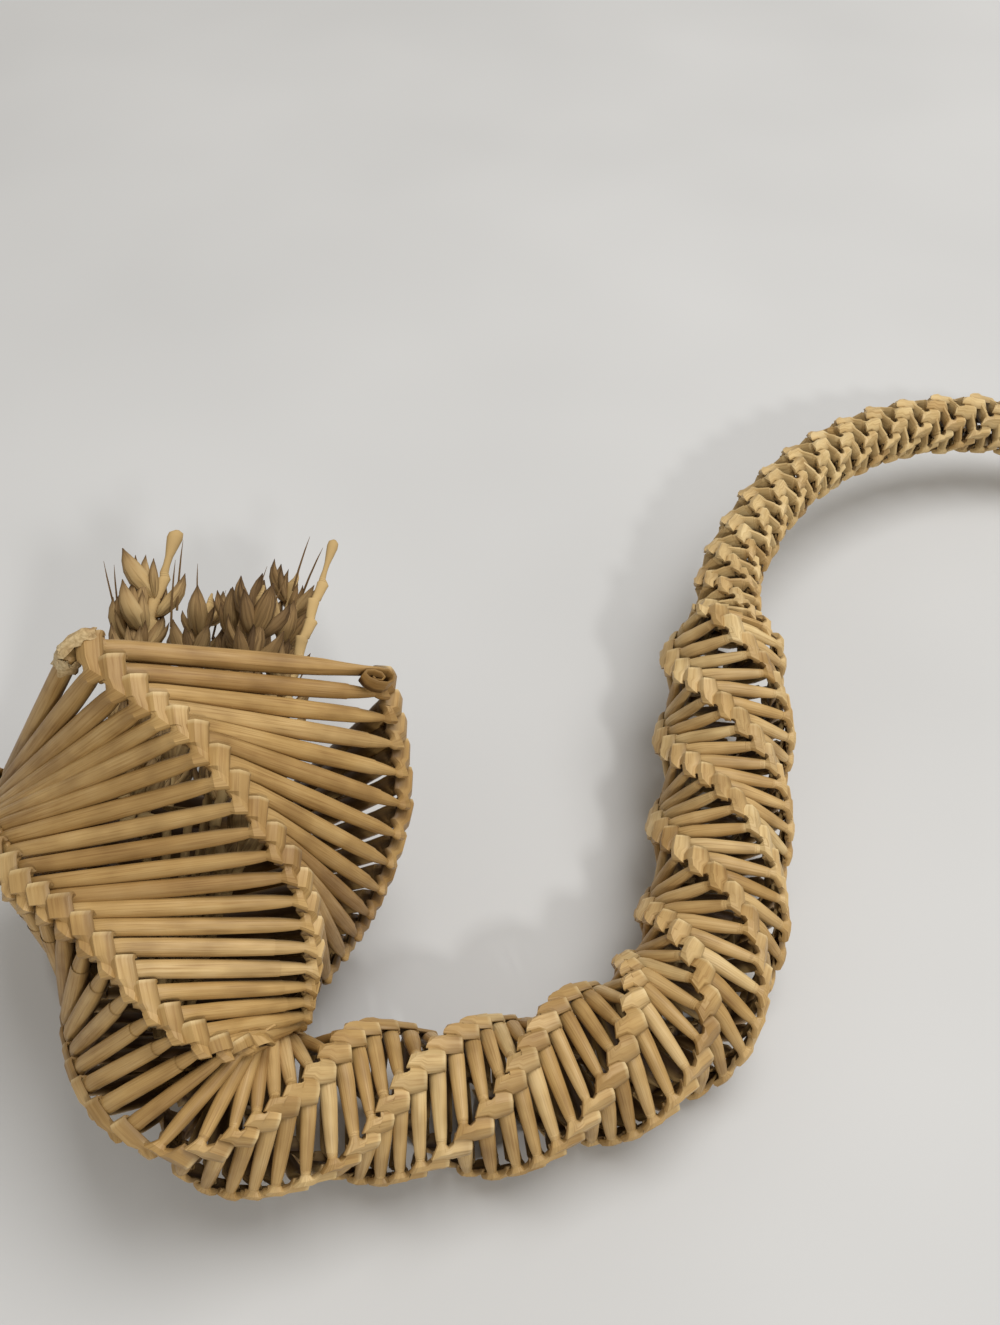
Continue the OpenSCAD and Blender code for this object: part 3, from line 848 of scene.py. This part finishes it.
class WheatEars(bpy.types.Operator):
    """Makes the bunch of wheat ears in the mouth"""

    bl_idname = "corn_dolly.wheat_ears"
    bl_label = "Wheat ears"

    # The glumes of one spikelet: fan and lean in degrees, place across the spikelet, and size.
    GLUMES = ((-24, 16, -0.9, 1), (24, 16, 0.9, 1), (-9, 27, -0.3, 1.1), (9, 24, 0.3, 1.15), (0, 9, 0, 1.05))
    # One joint of an ear's axis: its usual length, then shares of it with their half widths.
    JOINT_LEN = 4.8
    JOINT = ((0.06, 0.82), (0.3, 0.84), (0.75, 0.96), (0.95, 1.06), (1.0, 0.92))
    # The end of an ear's axis: place past the tip, and half width.
    CLUB = ((-8, 1.05), (-6, 0.85), (-4, 0.95), (-1.5, 1.5), (0.5, 1.9), (1.7, 1.7), (2.4, 0.6))
    PLAIN_TIP = ((-1.5, 0.7), (0, 0.3))
    # An awn: share of its length, and radius.
    AWN = ((0, 0.3), (0.4, 0.25), (0.75, 0.18), (1, 0.04))

    def execute(self, context):
        sizes = context.scene.corn_dolly
        bunch = Bunch(Plait(sizes), sizes)
        chaff = chaff_material(sizes)
        chance = np.random.default_rng(sizes.seed + 1)
        glume = glume_mesh(chaff)
        tree, names = spikelet_tree(glume)
        for k in range(len(EARS)):
            ear = Ear(bunch, k)
            name = f"wheat_ear_{k + 1}"
            rachis = self.rachis(ear, f"{name}_rachis", sizes.spikelets, bunch.stem, chaff, chance)
            spots = self.glume_spots(ear, sizes.spikelets, chance)
            mesh = grow(context, spots, tree, names,
                        Length=sizes.glume_len, Seed=sizes.seed + k, Finish=chaff)
            mesh.shade_smooth()
            scales = add_object(f"{name}_glumes", mesh)
            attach(scales, BODY)
            settle_piece(rachis, name)
        bpy.data.objects.remove(glume)
        return {"FINISHED"}

    def glume_spots(self, ear, spikelets, chance):
        """The points that an ear's glumes stand on, each with its turn, size and shade."""
        usual_shade = 0.85 if ear.number in PALE_EARS else 0.5
        spots, turns, lengths, shades = [], [], [], []
        # The left ear keeps one spikelet on its bare end.
        for n in range(-1 if ear.number == LEFT_EAR else 0, spikelets):
            side = ear.out if n % 2 == 0 else -ear.out
            base = ear.at(ear.reach - ear.bare - SPIKELET_STEP * (n + 1.6)) + 0.8 * side
            for fan, lean, back, size in self.GLUMES:
                lean += 6 * chance.standard_normal()
                fan += 5 * chance.standard_normal()
                along = swing(math.radians(fan), swing(math.radians(lean), ear.axis, side), ear.flat)
                spots.append((base + 1.1 * back * ear.flat) * MM)
                turns.append(turned_to(along, side + back * ear.flat).to_euler("XYZ"))
                lengths.append(size)
                shades.append(np.clip(usual_shade + 0.25 * chance.standard_normal(), 0, 1))
        cloud = bpy.data.meshes.new("spikelet spots")
        cloud.from_pydata(spots, [], [])
        add_values(cloud, turn=turns, size=lengths, shade=shades)
        return cloud

    def rachis(self, ear, name, spikelets, stem, material, chance):
        """The stem, the jointed zigzag axis of the ear with its tip, and a few awns."""
        ear_len = ear.bare + SPIKELET_STEP * (spikelets + 2)
        start = ear.reach - ear_len
        rings = [Ring(foot, 0.5 * stem * ear.out, 0.5 * stem * ear.flat)
                 for foot in (ear.foot, ear.foot + ear.axis * start)]
        shades = [0.6, 0.6]
        jointed = ear_len - (9 if ear.clubbed else 3)
        joints = int(jointed // self.JOINT_LEN)
        for n in range(joints):
            side = 0.5 if n % 2 == 0 else -0.5
            thin = 1 - 0.35 * n / joints
            for share, wide in self.JOINT:
                middle = ear.at(start + (n + share) * jointed / joints) + side * share * ear.out
                rings.append(Ring(middle, thin * wide * 2.0 * ear.out, thin * wide * 1.2 * ear.flat))
                shades.append(0.9)
        slight = 0.7 if ear.clubbed and ear.number != LEFT_EAR else 1
        for past, wide in self.CLUB if ear.clubbed else self.PLAIN_TIP:
            wide = slight * wide
            rings.append(Ring(ear.at(ear.reach + past), wide * ear.out, 0.75 * wide * ear.flat))
            shades.append(0.85)
        # Each part has its rings, sides, place on the chaff's colours and shades.
        parts = [(rings, 10, 0.12, shades)]
        # A few awns are left on the topmost glumes.
        for _ in range(2):
            place = ear.reach - ear.bare - SPIKELET_STEP * chance.uniform(1.0, 2.5)
            lean = unit(ear.axis + 0.12 * chance.standard_normal(3))
            foot = ear.foot + ear.axis * place + 2.5 * unit(across(lean, ear.axis))
            hair = unit(np.cross(lean, UP))
            long = chance.uniform(13, 17)
            rings = [Ring(foot + long * x * lean + 0.8 * x * x * hair, r * hair, r * np.cross(lean, hair))
                     for x, r in self.AWN]
            parts.append((rings, 5, 0.85, [0.5] * len(rings)))
        points, faces = merge([sweep(rings, sides)[:2] for rings, sides, *_ in parts])
        along = np.concatenate([np.full(len(rings) * sides, tip) for rings, sides, tip, _ in parts])
        shade = np.concatenate([np.repeat(shades, sides) for _, sides, _, shades in parts])
        return make_piece(name, points, faces, material, None, 60, along=along, shade=shade)


def binding_tree():
    """A thread wound close along Z: turns, radius, length and thread come from its inputs."""
    tree, names, given = new_tree(
        "Wound binding", Turns="Float", Radius="Float", Length="Float", Thread="Float", Finish="Material")
    line = add_node(tree, "GeometryNodeCurveSpiral", {
        "Resolution": 28, "Rotations": given["Turns"], "Start Radius": given["Radius"],
        "End Radius": given["Radius"], "Height": given["Length"]})
    thread = add_node(tree, "GeometryNodeCurvePrimitiveCircle", {"Resolution": 8, "Radius": given["Thread"]})
    wound = add_node(tree, "GeometryNodeCurveToMesh", {
        "Curve": line, "Profile Curve": thread, "Fill Caps": True})
    smooth = add_node(tree, "GeometryNodeSetShadeSmooth", {"Geometry": wound})
    close_tree(tree, smooth, given["Finish"])
    return tree, names


class Ties(bpy.types.Operator):
    """Makes the binding on the tail's tip, the tie on the ears' stems and the wrap on the mouth's corner"""

    bl_idname = "corn_dolly.ties"
    bl_label = "Ties and wrap"

    def execute(self, context):
        sizes = context.scene.corn_dolly
        plait = Plait(sizes)
        bunch = Bunch(plait, sizes)
        sheath = split_straw_material()
        group = binding_tree()
        start, bundle_r = plait.tip + BINDING_GAP * plait.tip_out, 1.4 * plait.tail + 0.1
        self.winding(
            context, group, "tail_binding", start, plait.tip_out, bundle_r, plait.binding_len, sheath)
        tie_len = 3
        self.winding(context, group, "ear_tie", bunch.middle, bunch.out, bunch.tie_r, tie_len, sheath)
        self.wrap(plait, sizes, sheath)
        return {"FINISHED"}

    def winding(self, context, group, node, foot, axis, radius, long, material):
        """A thread wound round an axis, turn against turn."""
        thread = 0.42
        wound = long - 2 * thread
        mesh = grow(context, bpy.data.meshes.new(node), *group, Turns=wound / (1.95 * thread),
                    Radius=(radius + thread) * MM, Length=wound * MM, Thread=thread * MM, Finish=material)
        place = turned_to(axis, np.cross(axis, UP)).to_4x4()
        place.translation = Vector((foot + thread * unit(axis)) * MM)
        mesh.transform(place)
        settle_piece(add_object(f"wound_{node}", mesh), node)

    def wrap(self, plait, sizes, material):
        """A leaf sheath rolled round a cut end at the mouth's corner, with a flap over the next straw."""
        i = CREASES - 2
        end, d, w, v = plait.runs[i]
        roll_gap = 0.3
        radius = plait.fold[i].size / 2 + roll_gap
        chance = np.random.default_rng(sizes.seed + 2)
        rows, turns = 12, 30
        roll_len, roll_start, lap, wound = 4.5, -3.9, 0.3, 1.1
        roll = []
        for r in range(rows + 1):
            for k in range(turns + 1):
                a = 2 * math.pi * wound * k / turns - 1.1
                fray = 0.7 * chance.standard_normal() if r in (0, rows) else 0
                far = radius + lap * k / turns + 0.15 * math.sin(5 * a + r) + 0.06 * chance.standard_normal()
                roll.append(end + d * (roll_len * r / rows + roll_start + fray) + far * swing(a, w, v))
        # The flap goes from the roll over the corner and lies on the start of the mouth's last run.
        _, size, k, g, out, _ = plait.fold[i + 1]
        last = plait.runs[i + 1]
        path = [
            end - 1.2 * d + (radius + 0.3) * v,
            end + (radius + 0.5) * unit(v + out),
            k + 0.7 * size * out + 0.5 * size * g,
            k + 0.75 * size * unit(last.v + out) + 0.5 * size * g + 1.5 * last.d,
        ]
        flap_rows, flap_turns = 12, 8
        flap = []
        for r in range(flap_rows + 1):
            x = 3 * r / flap_rows
            n = min(int(x), 2)
            here = (1 - x + n) * path[n] + (x - n) * path[n + 1]
            aside = unit(across(g, unit(path[n + 1] - path[n])))
            for c in range(flap_turns + 1):
                y = 2 * c / flap_turns - 1
                fray = 0.35 * chance.standard_normal() if c in (0, flap_turns) else 0
                wide = 1.3 - 0.15 * (x - 1.2) ** 2 + fray
                rough = 0.12 * chance.standard_normal()
                flap.append(here + y * wide * aside - 0.9 * y * y * out + rough * out)
        points, faces = merge([self.sheet(roll, rows, turns), self.sheet(flap, flap_rows, flap_turns)])
        piece = make_piece("rolled_mouth_wrap", points * MM, faces, material, None, 50)
        settle_piece(piece, "mouth_wrap")

    def sheet(self, spots, rows, turns):
        """A thin sheet through a grid of points, closed round its rim."""
        thick = 0.28
        grid = np.array(spots).reshape(rows + 1, turns + 1, 3)
        normal = np.cross(np.gradient(grid, axis=0), np.gradient(grid, axis=1))
        normal /= np.linalg.norm(normal, axis=2, keepdims=True)
        points = np.concatenate([grid, grid + thick * normal]).reshape(-1, 3)
        spot = np.arange(len(spots)).reshape(rows + 1, turns + 1)
        front = np.stack([spot[:-1, :-1], spot[:-1, 1:], spot[1:, 1:], spot[1:, :-1]], -1).reshape(-1, 4)
        both = np.stack([front, front[:, ::-1] + len(spots)], 1).reshape(-1, 4)
        rim = np.concatenate([spot[:-1, 0], spot[-1, :-1], spot[:0:-1, -1], spot[0, :0:-1]])
        after = np.roll(rim, -1)
        edge = np.stack([rim, after, after + len(spots), rim + len(spots)], -1)
        return points, both.tolist() + edge.tolist()


class Stage(bpy.types.Operator):
    """Sets the floor, the light and the camera"""

    bl_idname = "corn_dolly.stage"
    bl_label = "Stage"

    # Lamps: name, place and size in metres, power in watts and colour. They look at the dolly's middle.
    LAMPS = (
        ("ceiling lamp", (0.42, 0.2, 1.25), 1.0, 14.6, "#FDFDFF"),
        ("window", (0.4, -1.25, 0.95), 0.12, 7.4, "#FFFFFF"),
    )
    LAMPS_AIM = (0, 0, 0.02)

    def execute(self, context):
        scene = context.scene
        sizes = scene.corn_dolly
        half = 3.0
        corners = half * np.array([(-1, -1, 0), (1, -1, 0), (1, 1, 0), (-1, 1, 0)])
        floor = make_piece("floor", corners, [(0, 1, 2, 3)], floor_material(sizes))
        scene.view_settings.view_transform = "Standard"
        world = bpy.data.worlds.new("soft room light")
        world.use_nodes = True
        sky = world.node_tree.nodes["Background"]
        sky.inputs["Color"].default_value = (*linear("#FFF9F1"), 1)
        sky.inputs["Strength"].default_value = 0.42
        scene.world = world
        for name, place, size, power, tint in self.LAMPS:
            light = bpy.data.lights.new(name, "AREA")
            light.size = size
            light.energy = power
            light.color = linear(tint)
            lamp = add_object(name, light)
            lamp.location = place
            lamp.rotation_euler = (Vector(self.LAMPS_AIM) - Vector(place)).to_track_quat("-Z", "Y").to_euler()
        self.camera(scene, Vector(-Plait(sizes).shift * MM))
        return {"FINISHED"}

    def camera(self, scene, focus):
        """The photograph's view: 47 degrees above the table, along +Y, from 385 mm."""
        tilt, distance, roll = math.radians(47), 0.385, math.radians(-0.35)
        # The focal length is 1400 pixels, in a picture that is 1325 pixels high.
        camera = bpy.data.cameras.new("camera")
        camera.sensor_width = 36
        camera.lens = camera.sensor_width * 1400 / 1325
        camera.clip_start = 0.01
        eye = add_object("camera", camera)
        back = Vector((0, -math.cos(tilt), math.sin(tilt)))
        eye.location = focus + distance * back
        aim = (-back).to_track_quat("-Z", "Y").to_matrix().to_4x4() @ Matrix.Rotation(roll, 4, "Z")
        eye.rotation_euler = aim.to_euler()
        scene.camera = eye


class DollyPanel(bpy.types.Panel):
    """The dolly's pieces"""

    bl_idname = "VIEW3D_PT_corn_dolly"
    bl_label = "Corn dolly"
    bl_space_type = "VIEW_3D"
    bl_region_type = "UI"
    bl_category = "Corn dolly"

    def draw(self, context):
        for key in DollySizes.__annotations__:
            self.layout.prop(context.scene.corn_dolly, key)
        for operator in OPERATORS:
            self.layout.operator(operator.bl_idname)


OPERATORS = (Straws, WheatEars, Ties, Stage)


def register():
    for kind in (DollySizes, *OPERATORS, DollyPanel):
        bpy.utils.register_class(kind)
    bpy.types.Scene.corn_dolly = bpy.props.PointerProperty(type=DollySizes)


def unregister():
    del bpy.types.Scene.corn_dolly
    for kind in (DollyPanel, *reversed(OPERATORS), DollySizes):
        bpy.utils.unregister_class(kind)


def main():
    register()
    bpy.ops.corn_dolly.straws()
    bpy.ops.corn_dolly.wheat_ears()
    bpy.ops.corn_dolly.ties()
    bpy.ops.corn_dolly.stage()


if __name__ == "__main__":
    main()
